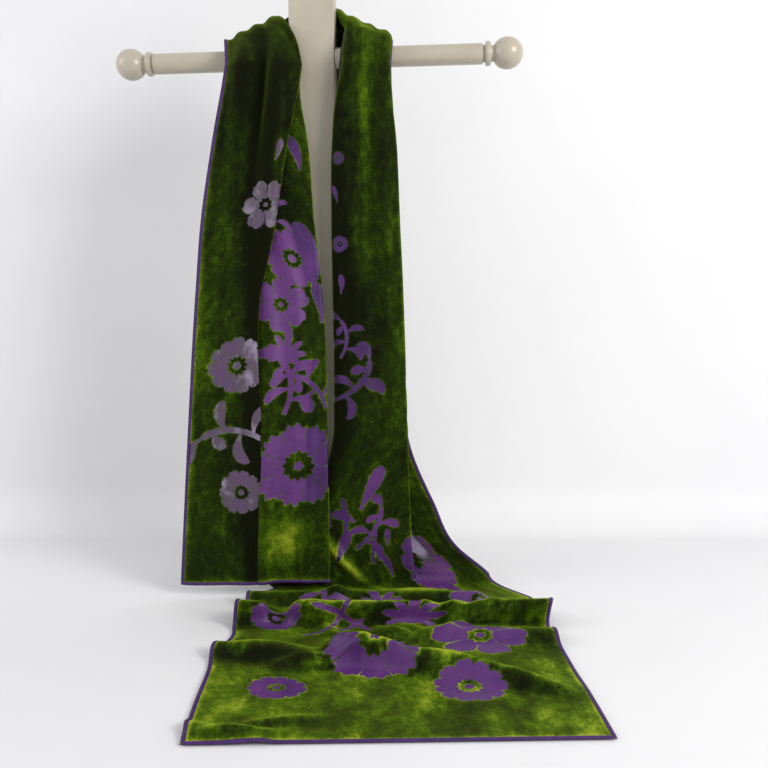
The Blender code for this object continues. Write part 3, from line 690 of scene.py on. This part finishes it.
def crease_relief(creases, p, t):
    """Soft ridges and troughs, a row each: both ends, the height and half the width."""
    height = np.zeros_like(p)
    for p_1, t_1, p_2, t_2, rise, half_width in creases:
        near, aside = beside(p, t, p_1, t_1, p_2, t_2)
        fade = np.sin(np.pi * np.clip(near, 0.08, 0.92))
        height += rise * fade * np.exp(-((aside / half_width) ** 2))
    return height


def flat_mesh(grid, lowest, highest, shapes):
    """The cloth laid flat in (p, t): an even grid, with the outlines of the bare patches cut into it."""
    p = np.linspace(0, WIDTH, int(WIDTH / grid) + 1)
    t = np.linspace(lowest, highest, int((highest - lowest) / grid) + 1)
    points = np.stack(np.meshgrid(p, t), axis=-1).reshape(-1, 2)
    border = (points[:, 0] == 0) | (points[:, 0] == WIDTH) | (points[:, 1] == t[0]) | (points[:, 1] == t[-1])
    clear = pile_height(shapes, points, np.zeros(len(points), bool)) == PILE
    points = points[border | clear]
    edges = []
    for outline, _ in shapes:
        low, high = (INSET, lowest + INSET), (WIDTH - INSET, highest - INSET)
        first = len(points)
        points = np.concatenate([points, np.clip(outline, low, high)])
        corners = np.arange(first, len(points))
        edges += zip(corners.tolist(), np.roll(corners, -1).tolist())
    made = delaunay_2d_cdt([Vector(point) for point in points], edges, [], 0, 1e-6)
    flat = np.array([tuple(corner) for corner in made[0]])
    faces = np.array([face for face in made[2] if len(face) == 3])
    return flat, faces


def below(value, limit, soft):
    """1 where a value is below a limit and 0 above it, with a soft change between."""
    return 1 / (1 + np.exp((value - limit) / soft))


def painted_lilac_share(p, from_near, from_far):
    """How much painted light lifts the bare ground: most on the hanging end's outer panel, and little on the
    floor.
    """
    outer_panel = 0.84 * below(p, 0.082, 0.002) * below(from_near, 0.42, 0.01)
    second_layer = (0.06 + 0.16 * below(p, 0.143, 0.002)) * below(from_near, 0.46, 0.01)
    landing = 1.20 * np.exp(-(((p - 0.042) / 0.017) ** 2) - ((from_far - 0.398) / 0.026) ** 2)
    long_fall = 0.40 * np.clip((from_far - 0.395) / 0.03, 0, 1) * (p < 0.15)
    floor = 0.24 * (from_far < FLOOR["from_end"][0])
    return np.maximum.reduce([outer_panel, second_layer, landing, long_fall, floor])


def sharpen_border(mesh, flat, lowest, highest):
    """Marks the border's edges sharp, so the rim under them doesn't round off the face's shading there."""
    ends = np.zeros(2 * len(mesh.edges), np.int32)
    mesh.edges.foreach_get("vertices", ends)
    first, second = flat[ends[::2]], flat[ends[1::2]]
    sharp = np.zeros(len(first), bool)
    for axis, line in ((0, 0.0), (0, WIDTH), (1, lowest), (1, highest)):
        sharp |= np.isclose(first[:, axis], line) & np.isclose(second[:, axis], line)
    mesh.attributes.new("sharp_edge", "BOOLEAN", "EDGE").data.foreach_set("value", sharp)


def cloth_piece(name, scarf, grid, lowest, highest, shapes, looks):
    """A length of the scarf as a fine mesh: its bare patches crisp, and the pile standing round them."""
    shapes = [shape for shape in shapes if shape[0][:, 1].max() > lowest and shape[0][:, 1].min() < highest]
    flat, faces = flat_mesh(grid, lowest, highest, shapes)
    bare = bare_at(shapes, flat[faces].mean(axis=1))
    height = pile_height(shapes, flat, bare_at(shapes, flat))
    place, out = scarf.at(flat[:, 0], flat[:, 1])
    place = place + out * height[:, None]
    a, b, c = (place[faces[:, k]] for k in range(3))
    turned = (np.cross(b - a, c - a) * out[faces[:, 0]]).sum(axis=1) < 0
    faces[turned] = faces[turned][:, ::-1]
    mesh = bpy.data.meshes.new(name)
    mesh.from_pydata(place.tolist(), [], faces.tolist())
    for look in looks:
        mesh.materials.append(look)
    mesh.polygons.foreach_set("material_index", bare.astype(np.int32))
    loops = np.zeros(len(mesh.loops), np.int32)
    mesh.loops.foreach_get("vertex_index", loops)
    mesh.uv_layers.new(name="cloth").data.foreach_set("uv", flat[loops].astype(np.float32).ravel())
    p, t = flat[:, 0], flat[:, 1]
    from_edge = np.minimum.reduce([p, WIDTH - p, t, scarf.t[-1] - t])
    values = {
        # Painted highlight along the hems and round the cut pile.
        "painted_edge_highlight": np.maximum(np.exp(-((from_edge / EDGE_HIGHLIGHT_REACH) ** 2)), 0.5 * (height < PILE)),
        # Painted light that turns the bare ground lilac.
        "pale": painted_lilac_share(p, t, scarf.t[-1] - t),
        # Painted highlights and painted shade on the pile, from the tables.
        "nap_and_painted_light": 0.5 + crease_relief(scarf.nap_and_painted_light, p, t),
        "lying": below(scarf.t[-1] - t, 0.300, 0.03),
    }
    for value_name, value in values.items():
        mesh.attributes.new(value_name, "FLOAT", "POINT").data.foreach_set("value", value.astype(np.float32))
    mesh.shade_smooth()
    sharpen_border(mesh, flat, lowest, highest)
    item = add_object(name, mesh)
    thick = item.modifiers.new("thickness", "SOLIDIFY")
    thick.thickness = CLOTH
    thick.offset = -1.0
    thick.material_offset = 2
    thick.material_offset_rim = 2
    return item


def edge_line(scarf, corners, step=0.002):
    """Points along straight lines between corners in (p, t), with the way out of the cloth's face."""
    points = []
    for (p_1, t_1), (p_2, t_2) in zip(corners, corners[1:]):
        part = np.linspace(0, 1, max(int(np.hypot(p_2 - p_1, t_2 - t_1) / step), 2), endpoint=False)
        points.append(np.column_stack([p_1 + (p_2 - p_1) * part, t_1 + (t_2 - t_1) * part]))
    points = np.concatenate(points + [[corners[-1]]])
    return scarf.at(points[:, 0], points[:, 1])


def directions(line, out):
    """The unit ways along a line and to the side of it within the cloth's face."""
    way = np.gradient(line, axis=0)
    way /= np.linalg.norm(way, axis=1, keepdims=True)
    side = np.cross(way, out)
    return way, side / np.linalg.norm(side, axis=1, keepdims=True)


def hem_band(name, scarf, corners, look):
    """A rolled hem along the edge: a flattened round, closed at both ends."""
    line, out = edge_line(scarf, corners)
    _, side = directions(line, out)
    made = bmesh.new()
    rings = []
    angles = 2 * np.pi * np.arange(HEM_SIDES) / HEM_SIDES
    for point, s, u in zip(line, side, out):
        middle = point + u * PILE / 2
        rings.append([
            made.verts.new(middle + HEM_HALF_WIDTH * np.cos(t) * s + HEM_HALF_HEIGHT * np.sin(t) * u)
            for t in angles
        ])
    join_rings(made, rings)
    made.faces.new(rings[0][::-1])
    made.faces.new(rings[-1])
    bmesh.ops.recalc_face_normals(made, faces=made.faces)
    return add_mesh(name, made, look)


def stitches(name, scarf, corners, look):
    """The hem's machine stitches, on the face: short rounded threads in one mesh."""
    line, out = edge_line(scarf, corners, STITCH_STEP)
    way, side = directions(line, out)
    made = bmesh.new()
    for point, w, s, u in zip(line[1:-1], way[1:-1], side[1:-1], out[1:-1]):
        middle = point + u * (PILE / 2 + HEM_HALF_HEIGHT)
        near, far = middle - w * STITCH_LENGTH / 2, middle + w * STITCH_LENGTH / 2
        ends = [made.verts.new(near - u * STITCH_SUNK), made.verts.new(far - u * STITCH_SUNK)]
        belt = [
            made.verts.new(middle + STITCH_WAIST * (np.cos(t) * s + np.sin(t) * u))
            for t in 2 * np.pi * np.arange(STITCH_SIDES) / STITCH_SIDES
        ]
        for k in range(STITCH_SIDES):
            past = (k + 1) % STITCH_SIDES
            made.faces.new([ends[0], belt[k], belt[past]])
            made.faces.new([ends[1], belt[past], belt[k]])
    return add_mesh(name, made, look)


def add_object(name, data):
    item = bpy.data.objects.new(name, data)
    bpy.context.scene.collection.objects.link(item)
    return item


def add_mesh(name, made, look):
    mesh = bpy.data.meshes.new(name)
    made.to_mesh(mesh)
    made.free()
    mesh.materials.append(look)
    mesh.shade_smooth()
    return add_object(name, mesh)


def join_rings(made, rings):
    """Faces between each ring of corners and the next."""
    for near, far in zip(rings, rings[1:]):
        for k in range(len(near)):
            past = (k + 1) % len(near)
            made.faces.new([near[k], near[past], far[past], far[k]])


def set_inputs(node, **values):
    """Sets a node's inputs, each named as in Blender with _ for a space."""
    for name, value in values.items():
        node.inputs[name.replace("_", " ")].default_value = value


class Look:
    """A material whose colour and relief are built up from values."""

    def __init__(self, name, roughness):
        self.material = bpy.data.materials.new(name)
        self.material.use_nodes = True
        tree = self.material.node_tree
        self.nodes, self.links = tree.nodes, tree.links
        self.shader = self.nodes["Principled BSDF"]
        self.shader.inputs["Roughness"].default_value = roughness
        self.places = self.nodes.new("ShaderNodeTexCoord").outputs
        self.relief = None

    def node(self, kind, linked=None, **values):
        """A new node with some inputs linked and others set."""
        made = self.nodes.new(f"ShaderNode{kind}")
        set_inputs(made, **values)
        for name, value in (linked or {}).items():
            self.links.new(value, made.inputs[name])
        return made

    def noise(self, place, scale, detail, roughness=0.6):
        values = dict(Scale=scale, Detail=detail, Roughness=roughness)
        return self.node("TexNoise", {"Vector": place}, **values).outputs["Fac"]

    def on_cloth(self, along):
        """Places on the flat cloth, in metres, drawn out along its length."""
        made = self.node("Mapping", {"Vector": self.places["UV"]}, Scale=(1.0, along, 1.0))
        return made.outputs["Vector"]

    def attribute(self, name):
        made = self.node("Attribute")
        made.attribute_name = name
        return made.outputs["Fac"]

    def math(self, operation, *values):
        """One sum on numbers and other nodes' values."""
        made = self.node("Math")
        made.operation = operation
        for place, value in zip(made.inputs, values):
            if isinstance(value, float):
                place.default_value = value
            else:
                self.links.new(value, place)
        return made.outputs["Value"]

    def add_up(self, total, terms):
        """A start and the sum of some values, each times its own weight."""
        for value, weight in terms:
            total = self.math("MULTIPLY_ADD", value, weight, total)
        return total

    def weave(self):
        """Threads over and under each other, from two wave patterns across and along the cloth."""
        waves = []
        for direction in ("X", "Y"):
            values = dict(Scale=1 / WEAVE_PITCH / 20, Distortion=0.4)
            wave = self.node("TexWave", {"Vector": self.places["UV"]}, **values)
            wave.wave_type = "BANDS"
            wave.bands_direction = direction
            waves.append(wave.outputs["Fac"])
        return self.math("MULTIPLY", *waves)

    def colour(self, value, stops):
        """The base colour, from a ramp read at a value. Each stop is a place and a colour."""
        made = self.node("ValToRGB", {"Fac": value})
        elements = made.color_ramp.elements
        while len(elements) < len(stops):
            elements.new(0.5)
        for element, (place, colour) in zip(elements, stops):
            element.position = place
            element.color = (*colour, 1.0)
        self.links.new(made.outputs["Color"], self.shader.inputs["Base Color"])

    def bump(self, height, strength, distance):
        """Relief on top of the relief that is there."""
        linked = {"Height": height}
        if self.relief is not None:
            linked["Normal"] = self.relief
        self.relief = self.node("Bump", linked, Strength=strength, Distance=distance).outputs["Normal"]
        self.links.new(self.relief, self.shader.inputs["Normal"])


def velvet_look():
    """Crushed green pile: deep where it faces the eye, bright olive at a slant as painted sheen, with
    painted highlights along its cut edges and folds and painted shade beside folds.
    """
    look = Look("green_velvet_pile", 0.8)
    patches = look.noise(look.on_cloth(0.45), 30.0, 7.0, 0.66)
    crushed = look.noise(look.on_cloth(0.7), 150.0, 5.0, 0.7)
    nap_and_painted_light = look.noise(look.on_cloth(0.9), 620.0, 4.0, 0.85)
    facing = look.node("LayerWeight", Blend=0.5).outputs["Facing"]
    lying = look.attribute("lying")
    # The pile's own crushed tone comes from the noises and lying. Painted light goes on top: facing as
    # painted sheen, and the two attributes as painted highlights and painted shade.
    pile_tone_and_painted_light = look.add_up(-0.67, (
        (patches, 0.60), (crushed, 0.46), (nap_and_painted_light, 0.44), (facing, 0.22),
        (look.attribute("painted_edge_highlight"), 0.36), (look.attribute("nap_and_painted_light"), 1.00),
        (look.math("MULTIPLY", patches, lying), 0.70), (lying, -0.36),
    ))
    look.colour(pile_tone_and_painted_light, (
        (0.46, (0.0046, 0.0055, 0.0018)),
        (0.62, (0.0135, 0.0250, 0.0016)),
        (0.78, (0.0480, 0.0980, 0.0022)),
        (1.00, (0.2700, 0.3300, 0.0200)),
    ))
    set_inputs(look.shader, Sheen_Weight=0.38, Sheen_Roughness=0.36, Sheen_Tint=(0.42, 0.60, 0.03, 1.0))
    set_inputs(look.shader, Specular_IOR_Level=0.04)
    look.bump(patches, 0.6, 0.005)
    look.bump(crushed, 0.5, 0.0014)
    look.bump(nap_and_painted_light, 0.6, 0.0007)
    return look.material


def reverse_look():
    """The back of the cloth: the dull woven ground with a little of the green showing through."""
    look = Look("dull_reverse", 0.7)
    tone = look.noise(look.places["Object"], 60.0, 4.0)
    look.colour(tone, ((0.35, (0.018, 0.022, 0.016)), (0.70, (0.045, 0.034, 0.060))))
    set_inputs(look.shader, Specular_IOR_Level=0.2)
    look.bump(look.weave(), 0.4, 0.0003)
    return look.material


def ground_look():
    """The bare silk ground: a fine plain weave, violet, and lilac where it catches the light."""
    look = Look("violet_ground", 0.5)
    tone = look.noise(look.on_cloth(0.7), 46.0, 3.0)
    # The noise is the ground's own uneven tone. The attribute is painted light, which lifts it to the grey
    # and lilac stops at the top.
    look.colour(look.add_up(0.10, ((tone, 0.50), (look.attribute("pale"), 0.62))), (
        (0.22, (0.016, 0.004, 0.036)),
        (0.42, (0.060, 0.012, 0.110)),
        (0.66, (0.112, 0.028, 0.160)),
        (0.88, (0.074, 0.055, 0.078)),
        (1.00, (0.330, 0.270, 0.410)),
    ))
    set_inputs(look.shader, Sheen_Weight=0.18, Sheen_Roughness=0.3, Sheen_Tint=(0.60, 0.45, 0.90, 1.0))
    set_inputs(look.shader, Specular_IOR_Level=0.35)
    look.bump(look.weave(), 0.35, 0.0003)
    return look.material


def plain_look(name, colours, roughness, scale, bump, specular=0.4, coat=0.0):
    """A finish with soft patches of tone and a fine surface, for the hem, thread, paint and backdrop."""
    look = Look(name, roughness)
    place = look.places["Object"]
    look.colour(look.noise(place, scale, 5.0), ((0.30, colours[0]), (0.70, colours[1])))
    set_inputs(look.shader, Specular_IOR_Level=specular, Coat_Weight=coat, Coat_Roughness=0.22)
    look.bump(look.noise(place, scale * 12, 4.0), bump, 0.0004)
    return look.material


def arm_profile(length):
    """A turned arm's distance from the post and radius: rod, groove, collar, bead, throat and ball."""
    outline = [(0.0, ARM_RADIUS), (length * 0.5, ARM_RADIUS), (length, ARM_RADIUS)]
    for past_end, radius in (
        (0.0006, GROOVE_RADIUS),
        (0.0022, GROOVE_RADIUS),
        (0.0026, COLLAR_RADIUS - 0.0006),
        (0.0036, COLLAR_RADIUS),
        (0.0052, COLLAR_RADIUS + 0.0003),
        (0.0066, COLLAR_RADIUS),
        (0.0076, COLLAR_RADIUS - 0.0008),
        (0.0080, GROOVE_RADIUS),
        (0.0092, THROAT_RADIUS),
        (0.0112, GROOVE_RADIUS),
    ):
        outline.append((length + past_end, radius))
    ball_at = length + BALL_OUT
    start = np.arcsin(GROOVE_RADIUS / BALL_RADIUS)
    for angle in np.linspace(start, np.pi, BALL_RINGS)[1:-1]:
        outline.append((ball_at - BALL_RADIUS * np.cos(angle), BALL_RADIUS * np.sin(angle)))
    return outline, ball_at + BALL_RADIUS


def arm(name, side, length, look):
    """A turned arm that goes out from the side of the post."""
    outline, tip = arm_profile(length)
    start = POST_WIDTH / 2 + JOINT_GAP + ARM_RADIUS * np.sin(ARM_RISE)
    turn = Matrix.Rotation(STAND_TURN, 3, "Z") @ Matrix.Rotation(-ARM_RISE, 3, "Y")
    origin = Vector((0.0, AXIS_Y, ARM_Z)) - CENTRE
    angles = 2 * np.pi * np.arange(ARM_SIDES) / ARM_SIDES
    made = bmesh.new()
    rings = []
    for out, radius in outline:
        places = [(side * (start + out), radius * np.cos(t), radius * np.sin(t)) for t in angles]
        rings.append([made.verts.new(turn @ Vector(place) + origin) for place in places])
    join_rings(made, rings)
    made.faces.new(rings[0])
    end = made.verts.new(turn @ Vector((side * (start + tip), 0.0, 0.0)) + origin)
    for k in range(ARM_SIDES):
        made.faces.new([rings[-1][k], rings[-1][(k + 1) % ARM_SIDES], end])
    bmesh.ops.recalc_face_normals(made, faces=made.faces)
    item = add_mesh(name, made, look)
    item.data.set_sharp_from_angle(angle=np.radians(50))
    return item


def make_camera():
    data = bpy.data.cameras.new("camera")
    data.sensor_width = 36.0
    data.lens = LENS
    data.clip_start = 0.01
    camera = add_object("camera", data)
    camera.location = EYE - CENTRE
    camera.rotation_euler = (np.pi / 2 - EYE_TILT, 0.0, 0.0)
    bpy.context.scene.camera = camera


def area_light(name, place, target, size, power, colour=(1.0, 1.0, 1.0)):
    data = bpy.data.lights.new(name, "AREA")
    data.energy, data.size, data.color = power, size, colour
    light = add_object(name, data)
    light.location = place
    light.rotation_euler = (Vector(target) - Vector(place)).to_track_quat("-Z", "Y").to_euler()


def clear_from_behind(made):
    """The backdrop's own back lets the view through, so the scarf also shows from behind the wall."""
    nodes, links = made.node_tree.nodes, made.node_tree.links
    mix = nodes.new("ShaderNodeMixShader")
    links.new(nodes.new("ShaderNodeNewGeometry").outputs["Backfacing"], mix.inputs["Fac"])
    links.new(nodes["Principled BSDF"].outputs["BSDF"], mix.inputs[1])
    links.new(nodes.new("ShaderNodeBsdfTransparent").outputs["BSDF"], mix.inputs[2])
    links.new(mix.outputs["Shader"], nodes["Material Output"].inputs["Surface"])


def backdrop(look):
    """A white floor that curves up into a wall behind, as one smooth sheet."""
    profile = [(-BACKDROP_REACH, 0.0), (WALL_Y - BACKDROP_BEND, 0.0)]
    for angle in np.linspace(0, np.pi / 2, 25)[1:]:
        along = WALL_Y - BACKDROP_BEND + BACKDROP_BEND * np.sin(angle)
        profile.append((along, BACKDROP_BEND * (1 - np.cos(angle))))
    profile.append((WALL_Y, BACKDROP_REACH))
    made = bmesh.new()
    sides = (-BACKDROP_HALF_WIDTH, BACKDROP_HALF_WIDTH)
    rows = [[made.verts.new((x, y, z - BACKDROP_BELOW)) for x in sides] for y, z in profile]
    for (a, b), (c, d) in zip(rows, rows[1:]):
        made.faces.new([a, b, d, c])
    return add_mesh("backdrop", made, look)


def make_studio():
    world = bpy.data.worlds.new("studio")
    world.use_nodes = True
    world.node_tree.nodes["Background"].inputs["Color"].default_value = (0.93, 0.93, 0.95, 1.0)
    world.node_tree.nodes["Background"].inputs["Strength"].default_value = 0.74
    bpy.context.scene.world = world
    bpy.context.scene.view_settings.view_transform = "Standard"
    area_light("window", (1.05, -0.95, 0.80), (0.0, 0.0, 0.24), 0.6, 15.5, (1.0, 0.99, 0.96))
    area_light("fill", (-1.5, -0.4, 0.8), (-0.7, 0.3, 0.25), 0.9, 8.0)
    look = plain_look("white_backdrop", ((0.73, 0.73, 0.745), (0.77, 0.77, 0.778)), 0.6, 3.0, 0.05)
    clear_from_behind(look)
    backdrop(look)


def from_far_end(rows, total):
    """Rows of a table that counts from the far end's hem, with t in the place of b."""
    return [(p_1, total - b_1, p_2, total - b_2, *rest) for p_1, b_1, p_2, b_2, *rest in rows]


def dress_scarf():
    """Both halves of the scarf, which meet behind the post, each with its hem and stitches."""
    pile, ground, reverse = velvet_look(), ground_look(), reverse_look()
    hem_look = plain_look("violet_hem", ((0.026, 0.004, 0.060), (0.058, 0.011, 0.122)), 0.62, 180.0, 0.6)
    thread = plain_look("violet_thread", ((0.060, 0.018, 0.140), (0.120, 0.044, 0.230)), 0.5, 300.0, 0.3)
    scarf, middle = make_scarf()
    total = scarf.t[-1]
    shapes = pattern(total)
    scarf.creases = (*HANGING_CREASES, *from_far_end(LONG_CREASES, total))
    # Painted highlights and painted shade on the pile, placed from both ends.
    scarf.nap_and_painted_light = (*HANGING_PAINTED_LIGHT, *from_far_end(LONG_PAINTED_LIGHT, total))
    short_nodes = ("scarf_hanging_end", "scarf_neck")
    long_nodes = ("scarf_long_fall", "scarf_floor_folds", "scarf_front_end")
    halves = (
        ("short_half", SHORT_GRID, 0.0, middle, "hung", "stand_left_arm", short_nodes),
        ("long_half", LONG_GRID, middle, total, "draped", "stand_right_arm", long_nodes),
    )
    for name, grid, lowest, highest, held, rest, nodes in halves:
        end = lowest if lowest == 0.0 else highest
        corners = [(HEM_INSET, middle), (HEM_INSET, abs(end - HEM_INSET))]
        corners += [(WIDTH - HEM_INSET, abs(end - HEM_INSET)), (WIDTH - HEM_INSET, middle)]
        cloth = cloth_piece(name, scarf, grid, lowest, highest, shapes, (pile, ground, reverse, reverse))
        sewn = [
            hem_band(f"{name}_hem", scarf, corners, hem_look),
            stitches(f"{name}_stitches", scarf, corners, thread),
        ]
        for item in [cloth, *sewn]:
            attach(item, "root")
        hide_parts(*nodes)


def dress_stand():
    creams = ((0.40, 0.355, 0.275), (0.47, 0.425, 0.335))
    paint = plain_look("cream_paint", creams, 0.34, 22.0, 0.10, specular=0.5, coat=0.35)
    arms = (("left_arm", "stand_left_arm", -1, LEFT_ARM), ("right_arm", "stand_right_arm", 1, RIGHT_ARM))
    for name, node, side, length in arms:
        item = arm(name, side, length, paint)
        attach(item, "root")
        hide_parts(node)
    for node in ("stand_base", "stand_post"):
        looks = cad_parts[node].data.materials
        looks.clear()
        looks.append(paint)


def main():
    make_camera()
    make_studio()
    dress_scarf()
    dress_stand()


main()
